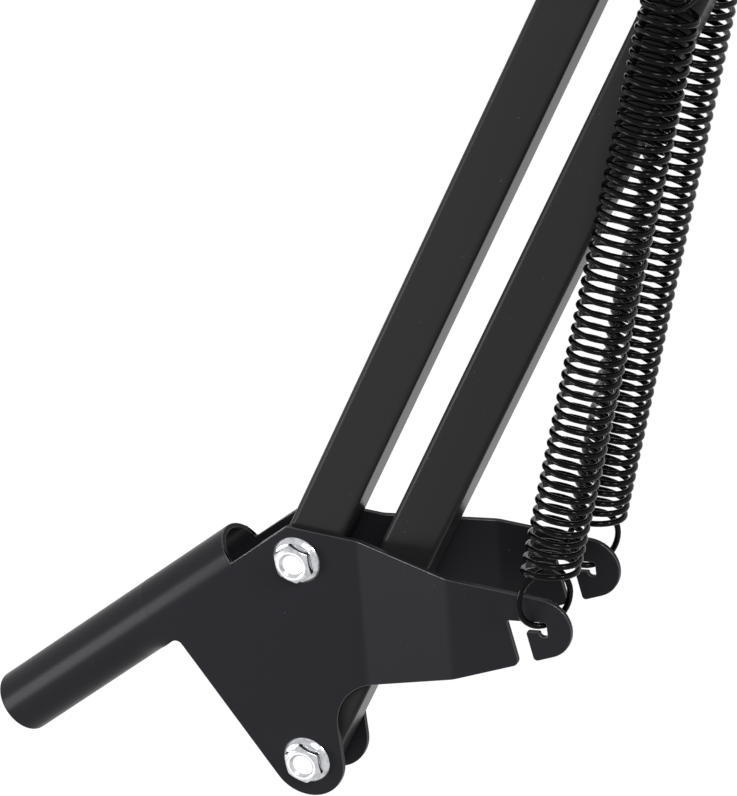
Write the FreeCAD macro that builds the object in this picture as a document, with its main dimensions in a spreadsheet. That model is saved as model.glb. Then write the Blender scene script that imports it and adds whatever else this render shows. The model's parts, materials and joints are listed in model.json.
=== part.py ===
import FreeCAD, Part
import Sketcher
import math
import os

os.makedirs("parts", exist_ok=True)

Vector = FreeCAD.Vector
doc = FreeCAD.newDocument("boom_arm")

# Driving sizes in millimetres and degrees. X is forward and back, Z runs up the spigot, and the
# origin lies on the spigot's axis at its shoulder, just below the two cheeks.
SIZES = [
    # base bracket, one pressed and rolled sheet
    ("spigot_radius", 6.2),
    ("spigot_flare", 0.1),
    ("spigot_top", 0.5),
    ("sheet", 1.0),
    ("spigot_length", 41.3),
    ("spigot_seam", 0.4),
    ("spigot_lead_in", 0.6),
    ("rim_height", 24.4),
    ("cheek_bottom", 1.8),
    ("cheek_bottom_angle", -2.5),
    ("shoulder_width", 5.5),
    ("shoulder_fillet", 1.4),
    ("cheek_front", 0.8),
    ("cheek_front_height", 40.0),
    ("cheek_corner", 2.0),
    ("edge_angle", 47.5),
    ("front_pivot_x", 5.6),
    ("front_pivot_z", 37.0),
    ("rear_pivot_x", 38.8),
    ("rear_pivot_z", 9.6),
    ("lobe_radius", 7.7),
    ("lobe_edge_angle", 146.1),
    ("notch_radius", 10.0),
    ("ear_edge_angle", 73.2),
    ("ear_edge_offset", 22.3),
    ("bend_angle", 52.3),
    ("bend_start", 45.5),
    ("bend_length", 20.4),
    ("bend_radius", 4.0),
    ("ear_spread", 24.9),
    # hook at the end of each ear
    ("hook_x", 35.16),
    ("hook_z", 70.73),
    ("hook_radius", 5.97),
    ("hook_slot_angle", 56.4),
    ("hook_slot_length", 7.75),
    ("hook_slot_width", 2.0),
    ("hook_notch_depth", 0.95),
    ("hook_notch_width", 1.5),
    ("hook_notch_radius", 0.65),
    ("hook_mouth", 3.2),
    ("hook_slant", 8.6),
    ("hook_edge_radius", 0.5),
    ("hook_tip_radius", 0.75),
    ("hook_mouth_radius", 1.5),
    # square tube bars
    ("bar_width", 10.2),
    ("bar_wall", 1.0),
    ("bar_corner", 1.2),
    ("bar_end", 7.0),
    ("pivot_inset", 0.6),
    ("lower_length", 340.0),
    ("lower_lean", 25.3),
    ("upper_length", 320.0),
    ("upper_lean", 80.0),
    ("side_gap", 0.2),
    ("running_gap", 0.05),
    # fasteners
    ("bolt_radius", 2.0),
    ("bolt_gap", 0.1),
    ("bolt_flange_radius", 4.9),
    ("bolt_flange_height", 0.9),
    ("bolt_hex", 7.0),
    ("bolt_crown_radius", 2.9),
    ("bolt_hex_turn", 30.0),
    ("bolt_head_height", 2.5),
    ("bolt_dish_radius", 2.5),
    ("bolt_dish_depth", 0.5),
    ("nut_height", 4.4),
    ("nut_collar_radius", 2.9),
    ("nut_collar_height", 1.0),
    ("bolt_tail", 1.2),
    ("thread_gap", 0.03),
    ("bush_radius", 3.0),
    # elbow
    ("elbow_sheet", 1.5),
    ("elbow_rim", 8.0),
    ("upper_pivot_rise", 24.0),
    ("upper_pivot_back", 2.0),
    ("upper_pivot_pitch", 20.0),
    ("upper_pivot_angle", 85.0),
    ("upper_post_rise", 26.0),
    ("upper_post_back", 6.0),
    # springs and their posts
    ("wire", 1.0),
    ("coil_diameter", 9.8),
    ("coil_gap", 1.6),
    ("ring_turn", 38.0),
    ("ring_opening", 75.0),
    ("lead_bend", 2.0),
    ("ring_seat", 6.0),
    ("ring_rest", 0.42),
    ("ring_sag", 0.2),
    ("lower_curls", 30),
    ("upper_curls", 20),
    ("lower_post_distance", 191.5),
    ("lower_post_offset", 1.55),
    ("upper_post_distance", 138.0),
    ("sleeve_radius", 2.7),
    ("post_spread", 21.4),
    ("elbow_post_spread", 26.0),
    ("ring_room", 0.5),
    # head, tilting stud and its knob
    ("head_forward", 24.0),
    ("head_drop", 4.0),
    ("tilt_screw_radius", 3.0),
    ("tilt_head_radius", 6.5),
    ("tilt_head_height", 3.2),
    ("tilt_drop", 16.0),
    ("collar_radius", 11.0),
    ("collar_height", 5.0),
    ("stud_radius", 7.9375),
    ("stud_length", 14.0),
    ("stud_chamfer", 1.0),
    ("stud_tail_radius", 4.0),
    ("stud_tail_length", 6.0),
    ("knob_radius", 14.0),
    ("knob_height", 14.0),
    ("knob_lobes", 6),
    ("knob_scallop", 5.0),
    ("knob_gap", 0.4),
    ("knob_skirt_radius", 9.0),
    ("knob_skirt_height", 4.0),
    ("insert_radius", 4.5),
    ("insert_length", 11.0),
]

sheet = doc.addObject("Spreadsheet::Sheet", "Sizes")
for row, (alias, value) in enumerate(SIZES, start=1):
    sheet.set("A%d" % row, alias)
    sheet.set("B%d" % row, str(value))
    sheet.setAlias("B%d" % row, alias)
doc.recompute()


def size(alias):
    return float(sheet.get(alias))


def turned(angle):
    return Vector(math.cos(math.radians(angle)), 0, math.sin(math.radians(angle)))


def along(angle):
    # direction of a bar that leans by the angle from Z towards -X
    return Vector(-math.sin(math.radians(angle)), 0, math.cos(math.radians(angle)))


# Places that the pieces share
outer_face = size("spigot_radius") + size("spigot_flare")
inner_face = outer_face - size("sheet")
plate_face = inner_face + size("elbow_sheet")
ear_middle = size("ear_spread") / 2
bar_half = inner_face - size("side_gap")
coil_radius = size("coil_diameter") / 2
lower_lean = size("lower_lean")
upper_lean = size("upper_lean")
lower_way = along(lower_lean)
upper_way = along(upper_lean)
lower_side = turned(lower_lean)
upper_side = turned(upper_lean)

front_pivot = Vector(size("front_pivot_x"), 0, size("front_pivot_z"))
rear_pivot = Vector(size("rear_pivot_x"), 0, size("rear_pivot_z"))
elbow_front = front_pivot + lower_way * size("lower_length")
elbow_rear = rear_pivot + lower_way * size("lower_length")
upper_low = elbow_front + Vector(-size("upper_pivot_back"), 0, size("upper_pivot_rise"))
upper_high = upper_low + turned(size("upper_pivot_angle")) * size("upper_pivot_pitch")
elbow_post = upper_high + upper_side * size("upper_post_rise") - upper_way * size("upper_post_back")
head_low = upper_low + upper_way * size("upper_length")
head_high = upper_high + upper_way * size("upper_length")
tilt_pivot = head_low - Vector(size("head_forward"), 0, size("head_drop"))
lower_post = (rear_pivot + lower_way * size("lower_post_distance")
              - lower_side * (size("pivot_inset") + size("lower_post_offset")))
upper_post = upper_high + upper_way * size("upper_post_distance") - upper_side * size("pivot_inset")

# Across the arm: local Z becomes Y, which runs from the near side to the far side
ACROSS = FreeCAD.Rotation(Vector(1, 0, 0), -90)

# A length beyond the whole bracket, for what is cut away round it, and the least length of a line
beyond = 2 * (size("hook_x") + size("hook_z"))
tiny = 1e-6


def rounded(points):
    # lines and arcs of a closed outline whose corners (x, y, radius) are rounded
    spans = []
    count = len(points)
    for index in range(count):
        before = Vector(*points[index - 1][:2], 0)
        corner = Vector(*points[index][:2], 0)
        after = Vector(*points[(index + 1) % count][:2], 0)
        radius = points[index][2]
        back = (before - corner).normalize()
        ahead = (after - corner).normalize()
        half = back.getAngle(ahead) / 2
        if radius <= 0:
            spans.append((corner, None, corner))
            continue
        reach = radius / math.tan(half)
        middle = (back + ahead).normalize()
        top = corner + middle * (radius / math.sin(half) - radius)
        spans.append((corner + back * reach, top, corner + ahead * reach))
    edges = []
    for index in range(count):
        start, top, end = spans[index]
        if top is not None:
            edges.append(Part.Arc(start, top, end))
        following = spans[(index + 1) % count][0]
        if end.distanceToPoint(following) > tiny:
            edges.append(Part.LineSegment(end, following))
    return edges


def rounded_hull(centres, radius):
    # outline at one radius round the centres of a convex figure, given anticlockwise
    corners = []
    count = len(centres)
    for index in range(count):
        before, centre, after = centres[index - 1], centres[index], centres[(index + 1) % count]
        arriving = (centre - before).normalize()
        leaving = (after - centre).normalize()
        out_one = Vector(arriving.z, 0, -arriving.x)
        out_two = Vector(leaving.z, 0, -leaving.x)
        middle = (out_one + out_two).normalize()
        corner = centre + middle * (radius / middle.dot(out_one))
        corners.append((corner.x, corner.z, radius))
    return rounded(corners)


def new_body(label):
    body = doc.addObject("PartDesign::Body", label)
    body.Label = label
    return body


def new_sketch(body, name, role, turn=None, lift=None):
    plane = [feature for feature in body.Origin.OriginFeatures if feature.Role == role][0]
    sketch = body.newObject("Sketcher::SketchObject", name)
    sketch.AttachmentSupport = [(plane, "")]
    sketch.MapMode = "FlatFace"
    if turn is not None:
        sketch.AttachmentOffset = FreeCAD.Placement(Vector(0, 0, 0), turn)
    if lift is not None:
        sketch.setExpression("AttachmentOffset.Base.z", lift)
    return sketch


def add_circle(sketch, x, y, radius):
    # a circle whose radius follows the sheet
    index = sketch.addGeometry(Part.Circle(Vector(x, y, 0), Vector(0, 0, 1), 1.0))
    constraint = sketch.addConstraint(Sketcher.Constraint("Radius", index, 1.0))
    sketch.setExpression("Constraints[%d]" % constraint, radius)
    return index


def pad(body, name, sketch, length, symmetric=False, reverse=False):
    feature = body.newObject("PartDesign::Pad", name)
    feature.Profile = sketch
    feature.setExpression("Length", length)
    feature.Reversed = reverse
    if symmetric:
        feature.SideType = "Symmetric"
    return feature


def pocket_through(body, name, sketch):
    feature = body.newObject("PartDesign::Pocket", name)
    feature.Profile = sketch
    feature.Type = "ThroughAll"
    feature.SideType = "Symmetric"
    return feature


def primitive(kind, name, frame, start, **bindings):
    # a basic solid whose own Z lies along the frame's Z, from the start along it
    item = doc.addObject("Part::" + kind, name)
    item.Placement = frame.multiply(FreeCAD.Placement(Vector(0, 0, start), FreeCAD.Rotation()))
    for prop, expression in bindings.items():
        item.setExpression(prop, expression)
    return item


def boolean(kind, name, base, tool):
    item = doc.addObject("Part::" + kind, name)
    item.Base = base
    item.Tool = tool
    return item


def fuse(name, shapes):
    item = doc.addObject("Part::MultiFuse", name)
    item.Shapes = shapes
    return item


def gather(label, solids):
    # identical pieces that share one node
    if len(solids) == 1:
        solids[0].Label = label
        return solids[0]
    group = doc.addObject("Part::Compound", label)
    group.Links = solids
    group.Label = label
    return group


nodes = []


def keep(item):
    nodes.append(item)
    return item


def meet(point_one, way_one, point_two, way_two):
    # crossing of two lines in the XZ plane
    cross = way_one.x * way_two.z - way_one.z * way_two.x
    gap = point_two - point_one
    return point_one + way_one * ((gap.x * way_two.z - gap.z * way_two.x) / cross)


def turn_about_spigot(body, kind, name, sketch):
    feature = body.newObject("PartDesign::" + kind, name)
    feature.Profile = sketch
    feature.ReferenceAxis = (sketch, ["V_Axis"])
    feature.Angle = 360
    return feature


# Hook slot: its inner corner, the way along it and the way out of its mouth
slot_corner = Vector(size("hook_x"), 0, size("hook_z"))
slot_way = turned(size("hook_slot_angle"))
mouth_way = Vector(slot_way.z, 0, -slot_way.x)


def slot_point(forward, down):
    return slot_corner + slot_way * forward + mouth_way * down


def cheek_outline():
    # the hook's end is an arc between the ear's two edges, which run on past the mouth
    top_corner = Vector(-size("cheek_front"), 0, size("cheek_front_height"))
    top_edge = turned(size("edge_angle"))
    slant = math.tan(math.radians(size("hook_slant")))
    mouth_edge = mouth_way + slot_way * slant
    slot_end = size("hook_slot_length")
    notch_start = slot_end - size("hook_notch_width")
    lip = size("hook_slot_width")
    notch = lip + size("hook_notch_depth")
    small = size("hook_edge_radius")
    notch_round = size("hook_notch_radius")
    rear_edge = turned(size("ear_edge_angle"))
    rear_point = Vector(rear_edge.z, 0, -rear_edge.x) * size("ear_edge_offset")
    lobe_edge = turned(size("lobe_edge_angle"))
    lobe_point = rear_pivot + Vector(lobe_edge.z, 0, -lobe_edge.x) * size("lobe_radius")
    bottom_edge = turned(size("cheek_bottom_angle"))
    bottom_point = rear_pivot + Vector(bottom_edge.z, 0, -bottom_edge.x) * size("lobe_radius")
    shoulder = Vector(size("shoulder_width"), 0, size("cheek_bottom"))
    corners = [
        (Vector(0, 0, size("cheek_bottom")), 0),
        (shoulder, 0),
        (meet(shoulder, Vector(0, 0, 1), bottom_point, bottom_edge), size("shoulder_fillet")),
        (meet(bottom_point, bottom_edge, lobe_point, lobe_edge), size("lobe_radius")),
        (meet(lobe_point, lobe_edge, rear_point, rear_edge), size("notch_radius")),
        (meet(rear_point, rear_edge, slot_corner, mouth_edge), size("hook_mouth_radius")),
        (slot_corner, small),
        (slot_point(slot_end, 0), small),
        (slot_point(slot_end, notch), notch_round),
        (slot_point(notch_start, notch), notch_round),
        (slot_point(notch_start, lip), small / 2),
        (slot_point(size("hook_mouth") + lip * slant, lip), small),
        (meet(rear_point, rear_edge, slot_point(size("hook_mouth"), 0), mouth_edge), size("hook_tip_radius")),
        (meet(rear_point, rear_edge, top_corner, top_edge), size("hook_radius")),
        (top_corner, size("cheek_corner")),
        (Vector(-size("cheek_front"), 0, size("rim_height")), 0),
        (Vector(0, 0, size("rim_height")), 0),
    ]
    return rounded([(point.x, point.z, radius) for point, radius in corners])


def bend_profiles():
    # what is cut away beside and between the bent cheeks, across the bend lines
    wide = size("ear_spread")
    start = size("bend_start")
    end = start + size("bend_length")
    ear_outer = ear_middle + size("sheet") / 2
    ear_inner = ear_middle - size("sheet") / 2
    rise = math.atan2(ear_outer - outer_face, size("bend_length"))
    shift = size("sheet") * math.tan(rise / 2)
    tight = size("bend_radius")
    loose = tight + size("sheet")
    overlap = size("bend_length") / 2
    profiles = []
    for side in (1, -1):
        profiles.append(rounded([
            (-beyond, side * outer_face, 0), (start, side * outer_face, tight),
            (end, side * ear_outer, loose), (beyond, side * ear_outer, 0),
            (beyond, side * wide, 0), (-beyond, side * wide, 0)]))
    profiles.append(rounded([
        (start - overlap, -inner_face, 0), (start + shift, -inner_face, loose),
        (end + shift, -ear_inner, tight), (beyond, -ear_inner, 0), (beyond, ear_inner, 0),
        (end + shift, ear_inner, tight), (start + shift, inner_face, loose),
        (start - overlap, inner_face, 0)]))
    return profiles


def make_base_bracket():
    body = new_body("base_bracket")
    outline = new_sketch(body, "CheekOutline", "XZ_Plane")
    outline.addGeometry(cheek_outline(), False)
    pad(body, "CheekBlock", outline, "Sizes.ear_spread + Sizes.sheet", symmetric=True)

    # the spigot flares a little below the cheeks, so that a socket stops there
    foot = -size("spigot_length")
    top = size("spigot_top")
    low = size("cheek_bottom")
    rim = size("rim_height")
    spigot = size("spigot_radius")
    bore = spigot - size("sheet")
    outside = new_sketch(body, "SpigotProfile", "XZ_Plane")
    outside.addGeometry(rounded([(0, foot, 0), (spigot, foot, size("spigot_lead_in")), (spigot, top, 0),
                                 (outer_face, low, 0), (outer_face, rim, 0), (0, rim, 0)]), False)
    turn_about_spigot(body, "Revolution", "Spigot", outside)

    bends = new_sketch(body, "BendProfile", "XY_Plane",
                       turn=FreeCAD.Rotation(Vector(0, 1, 0), -size("bend_angle")))
    for profile in bend_profiles():
        bends.addGeometry(profile, False)
    pocket_through(body, "Bends", bends)

    channel = new_sketch(body, "ChannelOutline", "XZ_Plane")
    channel.addGeometry(rounded([(0, low, 0), (beyond, low, 0), (beyond, beyond, 0), (-beyond, beyond, 0),
                                 (-beyond, rim, 0), (0, rim, 0)]), False)
    gap = body.newObject("PartDesign::Pocket", "Channel")
    gap.Profile = channel
    gap.SideType = "Symmetric"
    gap.setExpression("Length", "2 * (Sizes.spigot_radius + Sizes.spigot_flare - Sizes.sheet)")

    inside = new_sketch(body, "BoreProfile", "XZ_Plane")
    inside.addGeometry(rounded([(0, foot, 0), (bore, foot, 0), (bore, top, 0), (inner_face, low, 0),
                                (inner_face, rim, 0), (0, rim, 0)]), False)
    turn_about_spigot(body, "Groove", "Bore", inside)

    seam = new_sketch(body, "SeamOutline", "XZ_Plane")
    seam.addGeometry(rounded([(0, 2 * foot, 0), (2 * outer_face, 2 * foot, 0), (2 * outer_face, low, 0),
                              (0, low, 0)]), False)
    slit = body.newObject("PartDesign::Pocket", "Seam")
    slit.Profile = seam
    slit.SideType = "Symmetric"
    slit.setExpression("Length", "Sizes.spigot_seam")

    pivots = new_sketch(body, "PivotHoles", "XZ_Plane")
    for point in (front_pivot, rear_pivot):
        add_circle(pivots, point.x, point.z, "Sizes.bolt_radius + Sizes.bolt_gap")
    pocket_through(body, "PivotBores", pivots)
    return keep(body)


def make_bar(label, pivot, lean, length, inward, post=None):
    # square tube: its own Z runs along the bar from the first pivot, its X square to it in the
    # plane of the arm, and the pivots lie off its middle on the side away from the other bar
    body = new_body(label)
    middle = inward * size("pivot_inset")
    half = size("bar_width") / 2
    wall = size("bar_wall")
    corner = size("bar_corner")
    section = new_sketch(body, label + "_section", "XY_Plane", lift="-Sizes.bar_end")
    for inset, radius in ((0, corner), (wall, max(corner - wall, 0))):
        wide = half - inset
        deep = bar_half - inset
        section.addGeometry(rounded([
            (middle - wide, -deep, radius), (middle + wide, -deep, radius),
            (middle + wide, deep, radius), (middle - wide, deep, radius)]), False)
    pad(body, label + "_tube", section, "Sizes.%s + 2 * Sizes.bar_end" % length)
    holes = new_sketch(body, label + "_pivots", "XZ_Plane")
    for distance in (0, size(length)):
        add_circle(holes, 0, distance, "Sizes.bush_radius + Sizes.running_gap")
    if post is not None:
        add_circle(holes, post[0], post[1], "Sizes.bolt_radius + Sizes.bolt_gap")
    pocket_through(body, label + "_bores", holes)
    body.Placement = FreeCAD.Placement(pivot, FreeCAD.Rotation(Vector(0, 1, 0), -lean))
    return keep(body)


def make_bolt(name, pivot, face):
    # hexagon flange bolt across the arm, with its dished head on the near side
    frame = FreeCAD.Placement(pivot - Vector(0, face, 0), ACROSS)
    height = size("bolt_head_height")
    twist = FreeCAD.Rotation(Vector(0, 0, 1), size("bolt_hex_turn"))
    turned_frame = frame.multiply(FreeCAD.Placement(Vector(0, 0, 0), twist))
    flange = primitive("Cone", name + "_flange", frame, -size("bolt_flange_height"),
                       Radius1="Sizes.bolt_hex / sqrt(3)", Radius2="Sizes.bolt_flange_radius",
                       Height="Sizes.bolt_flange_height")
    hexagon = primitive("Prism", name + "_hexagon", turned_frame, -height,
                        Circumradius="Sizes.bolt_hex / sqrt(3)", Height="Sizes.bolt_head_height")
    turning = primitive("Cone", name + "_chamfer", frame, -height, Radius1="Sizes.bolt_crown_radius",
                        Radius2="Sizes.bolt_crown_radius + Sizes.bolt_head_height * sqrt(3)",
                        Height="Sizes.bolt_head_height")
    head = boolean("Common", name + "_head", hexagon, turning)
    shank = primitive("Cylinder", name + "_shank", frame, 0, Radius="Sizes.bolt_radius")
    shank.Height = 2 * face + size("nut_height") + size("nut_collar_height") + size("bolt_tail")
    whole = fuse(name + "_whole", [flange, head, shank])
    dish = primitive("Cone", name + "_dish", frame, -height, Radius1="Sizes.bolt_dish_radius",
                     Radius2="Sizes.bolt_dish_radius - Sizes.bolt_dish_depth",
                     Height="Sizes.bolt_dish_depth")
    return boolean("Cut", name, whole, dish)


def make_nut(name, pivot, face):
    # flanged lock nut on the far side
    frame = FreeCAD.Placement(pivot + Vector(0, face, 0), ACROSS)
    flange = primitive("Cone", name + "_flange", frame, 0, Radius1="Sizes.bolt_flange_radius",
                       Radius2="Sizes.bolt_hex / sqrt(3)", Height="Sizes.bolt_flange_height")
    hexagon = primitive("Prism", name + "_hexagon", frame, 0,
                        Circumradius="Sizes.bolt_hex / sqrt(3)", Height="Sizes.nut_height")
    collar = primitive("Cylinder", name + "_collar", frame, size("nut_height"),
                       Radius="Sizes.nut_collar_radius", Height="Sizes.nut_collar_height")
    whole = fuse(name + "_whole", [flange, hexagon, collar])
    thread = primitive("Cylinder", name + "_thread", frame, 0,
                       Radius="Sizes.bolt_radius + Sizes.thread_gap",
                       Height="Sizes.nut_height + Sizes.nut_collar_height")
    return boolean("Cut", name, whole, thread)


def make_tube(name, pivot, start, end, radius, bore):
    # round tube across the arm
    frame = FreeCAD.Placement(pivot + Vector(0, start, 0), ACROSS)
    outside = primitive("Cylinder", name + "_outside", frame, 0, Radius=radius)
    inside = primitive("Cylinder", name + "_inside", frame, 0, Radius=bore)
    outside.Height = end - start
    inside.Height = end - start
    return boolean("Cut", name, outside, inside)


def make_pivot_set(prefix, pivots, face):
    # bolts, nuts and bushes that clamp two plates together at their pivots
    keep(gather(prefix + "_bolts", [make_bolt("%s_bolt_%d" % (prefix, number), point, face)
                                    for number, point in enumerate(pivots, start=1)]))
    keep(gather(prefix + "_nuts", [make_nut("%s_nut_%d" % (prefix, number), point, face)
                                   for number, point in enumerate(pivots, start=1)]))
    bushes = [make_tube("%s_bush_%d" % (prefix, number), point, -inner_face, inner_face,
                        "Sizes.bush_radius", "Sizes.bolt_radius + Sizes.bolt_gap")
              for number, point in enumerate(pivots, start=1)]
    keep(gather(prefix + "_bushes", bushes))


def make_post(prefix, pivot, inside, spread):
    # bolt with a sleeve on each side, which the springs' rings hang on
    outside = spread / 2 + size("wire") / 2 + size("ring_room")
    keep(gather(prefix + "_bolt", [make_bolt(prefix + "_screw", pivot, outside)]))
    keep(gather(prefix + "_nut", [make_nut(prefix + "_locknut", pivot, outside)]))
    for side, start, end in (("near", -outside, -inside), ("far", inside, outside)):
        keep(gather("%s_sleeve_%s" % (prefix, side),
                    [make_tube("%s_tube_%s" % (prefix, side), pivot, start, end,
                               "Sizes.sleeve_radius", "Sizes.bolt_radius + Sizes.bolt_gap")]))


def make_plate(label, outline, holes, side):
    # flat plate on one side of the bars; holes are (place, radius)
    body = new_body(label)
    sketch = new_sketch(body, label + "_outline", "XZ_Plane")
    sketch.addGeometry(outline, False)
    for point, radius in holes:
        add_circle(sketch, point.x, point.z, radius)
    pad(body, label + "_sheet", sketch, "Sizes.elbow_sheet", reverse=side > 0)
    body.Placement = FreeCAD.Placement(Vector(0, side * inner_face, 0), FreeCAD.Rotation())
    return keep(body)


tightest = []


def biarc(start, start_way, end, end_way):
    # two arcs that leave and arrive along the given ways, or a line where these agree
    span = end - start
    facing = start_way.dot(end_way)
    if facing > 1 - tiny ** 2:
        return [Part.LineSegment(start, end)]
    both = span.dot(start_way + end_way)
    reach = (-both + math.sqrt(both * both + 2 * (1 - facing) * span.dot(span))) / (2 * (1 - facing))
    joint = (start + end + (start_way - end_way) * reach) / 2
    arcs = []
    for first, way, last in ((start, start_way, joint), (end, end_way * -1, joint)):
        chord = last - first
        across = chord - way * chord.dot(way)
        radius = chord.dot(chord) / (2 * across.Length)
        centre = first + across.normalize() * radius
        top = centre + ((first + last) / 2 - centre).normalize() * radius
        arcs.append((first, top, last, radius))
    tightest.append(min(arcs[0][3], arcs[1][3]))
    first, second = arcs
    return [Part.Arc(first[0], first[1], first[2]), Part.Arc(second[2], second[1], second[0])]


def make_spring(label, foot, head, foot_turn, head_turn, curls):
    # one wire: a ring, a lead up the side, the coil, a lead and a ring, between two ring centres
    axis = head - foot
    length = axis.Length
    axis.normalize()
    sideways = (Vector(0, 1, 0) - axis * axis.y).normalize()
    square = sideways.cross(axis)
    lead = coil_radius + size("coil_gap")
    bend = size("lead_bend")
    opening = size("ring_opening")
    sweep = 360 - opening
    ring_steps = [sweep * step / 3 for step in range(4)]
    first_turn = math.radians(foot_turn) + math.pi / 4
    last_turn = math.radians(head_turn) + 2 * math.pi * curls - math.pi / 4
    rate = (length - 2 * lead) / (last_turn - first_turn)

    def around(angle):
        return square * math.cos(angle) + sideways * math.sin(angle)

    def ring(centre, turn, angles):
        out = around(math.radians(turn))
        stations = []
        for angle in angles:
            turn_now = math.radians(angle)
            stations.append((centre + (out * math.cos(turn_now) + axis * math.sin(turn_now)) * coil_radius,
                             axis * math.cos(turn_now) - out * math.sin(turn_now)))
        return stations

    stations = ring(foot, foot_turn, [opening + step for step in ring_steps])
    stations.append((foot + around(math.radians(foot_turn)) * coil_radius + axis * (lead - bend), axis))
    quarters = round((last_turn - first_turn) / (math.pi / 2))
    for quarter in range(quarters + 1):
        angle = first_turn + (last_turn - first_turn) * quarter / quarters
        height = lead + rate * (angle - first_turn)
        way = (around(angle + math.pi / 2) * coil_radius + axis * rate).normalize()
        stations.append((foot + around(angle) * coil_radius + axis * height, way))
    stations.append((head + around(math.radians(head_turn)) * coil_radius - axis * (lead - bend), axis))
    stations += ring(head, head_turn, ring_steps)

    edges = []
    for (start, start_way), (end, end_way) in zip(stations, stations[1:]):
        edges += biarc(start, start_way, end, end_way)
    path = Part.Wire([edge.toShape() for edge in edges])
    section = Part.Wire([Part.Circle(stations[0][0], stations[0][1], size("wire") / 2).toShape()])
    spring = doc.addObject("Part::Feature", label)
    spring.Label = label
    spring.Shape = path.makePipeShell([section], True, False)
    report_spring(label, path, spring.Shape)
    return keep(spring)


def report_spring(label, path, shape):
    # least gap of the wire to itself, on points along it, and its volume against section times length
    step = size("wire") / 2
    points = []
    for edge in path.OrderedEdges:
        points += edge.discretize(Number=max(2, math.ceil(edge.Length / step)))[:-1]
    cells = {}
    for index, point in enumerate(points):
        key = tuple(int(math.floor(value / (3 * size("wire")))) for value in point)
        cells.setdefault(key, []).append(index)
    apart = math.ceil(4 * size("wire") / step)
    least = math.inf
    for (x, y, z), members in cells.items():
        near = [other for dx in (-1, 0, 1) for dy in (-1, 0, 1) for dz in (-1, 0, 1)
                for other in cells.get((x + dx, y + dy, z + dz), [])]
        for index in members:
            for other in near:
                if other - index > apart:
                    least = min(least, points[index].distanceToPoint(points[other]))
    expected = math.pi * size("wire") ** 2 / 4 * path.Length
    print("%s: gap %.2f, tightest bend %.2f, volume %.4f of section times length"
          % (label, least - size("wire"), min(tightest), shape.Volume / expected))


def make_lower_springs():
    seat = slot_point(size("ring_seat"), size("wire") / 2 + size("ring_rest"))
    for name, side in (("lower_spring_near", -1), ("lower_spring_far", 1)):
        low = seat + Vector(0, side * ear_middle, 0)
        high = lower_post + Vector(0, side * size("post_spread") / 2, 0)
        way = (high - low).normalize()
        inside = coil_radius - size("wire") / 2 - size("sleeve_radius") - size("ring_sag")
        make_spring(name, low + way * coil_radius, high - way * inside,
                    size("ring_turn"), 0, int(size("lower_curls")))


def make_upper_springs():
    inside = coil_radius - size("wire") / 2 - size("sleeve_radius") - size("ring_sag")
    for name, side in (("upper_spring_near", -1), ("upper_spring_far", 1)):
        low = elbow_post + Vector(0, side * size("elbow_post_spread") / 2, 0)
        high = upper_post + Vector(0, side * size("post_spread") / 2, 0)
        way = (high - low).normalize()
        make_spring(name, low + way * inside, high - way * inside, 0, 0, int(size("upper_curls")))


def make_tilt_screw():
    # round-headed screw from the far side, through the plates and the block, into the knob
    frame = FreeCAD.Placement(tilt_pivot + Vector(0, plate_face, 0), FreeCAD.Rotation(Vector(1, 0, 0), 90))
    cap_radius = size("tilt_head_radius")
    cap_height = size("tilt_head_height")
    ball = (cap_radius ** 2 + cap_height ** 2) / (2 * cap_height)
    sunk = ball - cap_height
    cap_frame = FreeCAD.Placement(tilt_pivot + Vector(0, plate_face, 0), ACROSS)
    cap = primitive("Sphere", "tilt_screw_cap", cap_frame, -sunk)
    cap.Radius = ball
    cap.Angle1 = math.degrees(math.asin(sunk / ball))
    shank = primitive("Cylinder", "tilt_screw_shank", frame, 0, Radius="Sizes.tilt_screw_radius")
    shank.Height = 2 * plate_face + size("knob_gap") + size("insert_length") - size("bolt_flange_height")
    screw = fuse("tilt_screw", [cap, shank])
    screw.Label = "tilt_screw"
    return keep(screw)


def make_tilt_block():
    # tongue between the head plates, with a round collar below it
    body = new_body("tilt_block")
    half = size("elbow_rim")
    drop = size("tilt_drop")
    tongue = new_sketch(body, "TongueOutline", "XZ_Plane")
    tongue.addGeometry(rounded([(-half, -drop, 0), (half, -drop, 0),
                                (half, half, half), (-half, half, half)]), False)
    pad(body, "Tongue", tongue,
        "2 * (Sizes.spigot_radius + Sizes.spigot_flare - Sizes.sheet - Sizes.side_gap)", symmetric=True)
    ring = new_sketch(body, "CollarCircle", "XY_Plane", lift="-Sizes.tilt_drop - Sizes.collar_height")
    add_circle(ring, 0, 0, "Sizes.collar_radius")
    pad(body, "Collar", ring, "Sizes.collar_height")
    bore = new_sketch(body, "ScrewHole", "XZ_Plane")
    add_circle(bore, 0, 0, "Sizes.tilt_screw_radius + Sizes.running_gap")
    pocket_through(body, "ScrewBore", bore)
    tail = new_sketch(body, "TailCircle", "XY_Plane", lift="-Sizes.tilt_drop - Sizes.collar_height")
    add_circle(tail, 0, 0, "Sizes.stud_tail_radius + Sizes.thread_gap")
    seat = body.newObject("PartDesign::Pocket", "TailSeat")
    seat.Profile = tail
    seat.Reversed = True
    seat.setExpression("Length", "Sizes.stud_tail_length")
    body.Placement = FreeCAD.Placement(tilt_pivot, FreeCAD.Rotation())
    return keep(body)


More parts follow.
